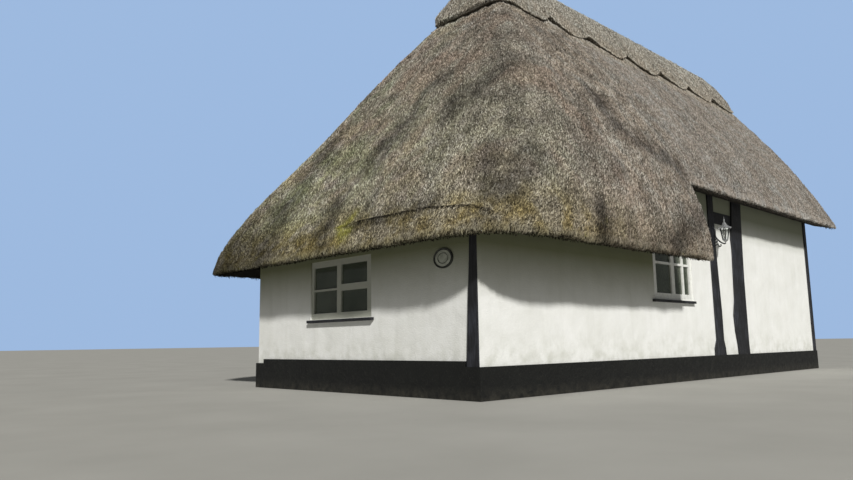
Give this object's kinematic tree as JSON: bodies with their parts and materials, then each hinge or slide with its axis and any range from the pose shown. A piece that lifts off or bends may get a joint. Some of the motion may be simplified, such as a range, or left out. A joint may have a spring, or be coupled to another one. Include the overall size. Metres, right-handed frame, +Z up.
{
  "type": "thatched cottage",
  "caption": "Long low cottage with white rendered walls on a black plinth, under a deep straw roof hipped at one end and gabled at the other, with a stepped front eave.",
  "frame": {"origin": "on the ground, under the middle of the roof's plan", "axes": "+X runs along the house from the hipped end to the gable end, -Y is the front with the stepped eave, +Z is up"},
  "size_m": [12.0785, 6.5493, 7.51],
  "materials": {
    "limewash": "lime render, brushed, matt",
    "black_plinth": "tarred render, dull sheen",
    "floor_brick": "brick paving, matt",
    "black_timber": "tarred timber, dull sheen",
    "oak": "sawn, untreated",
    "white_paint": "satin paint",
    "window_glass": "clear pane",
    "thatch": "weathered straw, combed, with moss",
    "ridge_straw": "block-cut straw, weathered",
    "lantern_metal": "grey paint with black trim",
    "plaque_enamel": "plain oval plate with a dark rim"
  },
  "bodies": {
    "root": {"bay_panel_lower": "limewash", "bay_panel_upper": "limewash", "door_threshold": "floor_brick", "far_corner_post": "black_timber", "far_end_plinth": "black_plinth", "far_end_window_frame": "white_paint", "far_end_window_glass": "window_glass", "far_end_window_sill": "black_timber", "far_gable_wall": "limewash", "front_plinth": "black_plinth", "front_thatch_low": "thatch", "front_thatch_raised": "thatch", "front_wall_far": "limewash", "front_wall_near": "limewash", "front_wall_plate": "oak", "front_window_frame": "white_paint", "front_window_glass": "window_glass", "front_window_sill": "black_timber", "ground_floor": "floor_brick", "head_beam": "black_timber", "lantern": "lantern_metal", "lantern_bracket": "lantern_metal", "left_post": "black_timber", "near_corner_post": "black_timber", "near_end_plinth": "black_plinth", "near_end_wall": "limewash", "near_end_wall_plate": "oak", "near_end_window_frame": "white_paint", "near_end_window_glass": "window_glass", "near_end_window_sill": "black_timber", "near_hip_thatch": "thatch", "rear_door": "black_timber", "rear_door_frame": "black_timber", "rear_plinth_far": "black_plinth", "rear_plinth_near": "black_plinth", "rear_thatch_low": "thatch", "rear_thatch_raised": "thatch", "rear_wall": "limewash", "rear_wall_plate": "oak", "rear_window_frame": "white_paint", "rear_window_glass": "window_glass", "rear_window_sill": "black_timber", "ridge_cap": "ridge_straw", "right_post": "black_timber", "wall_plaque": "plaque_enamel"}
  },
  "joints": []
}
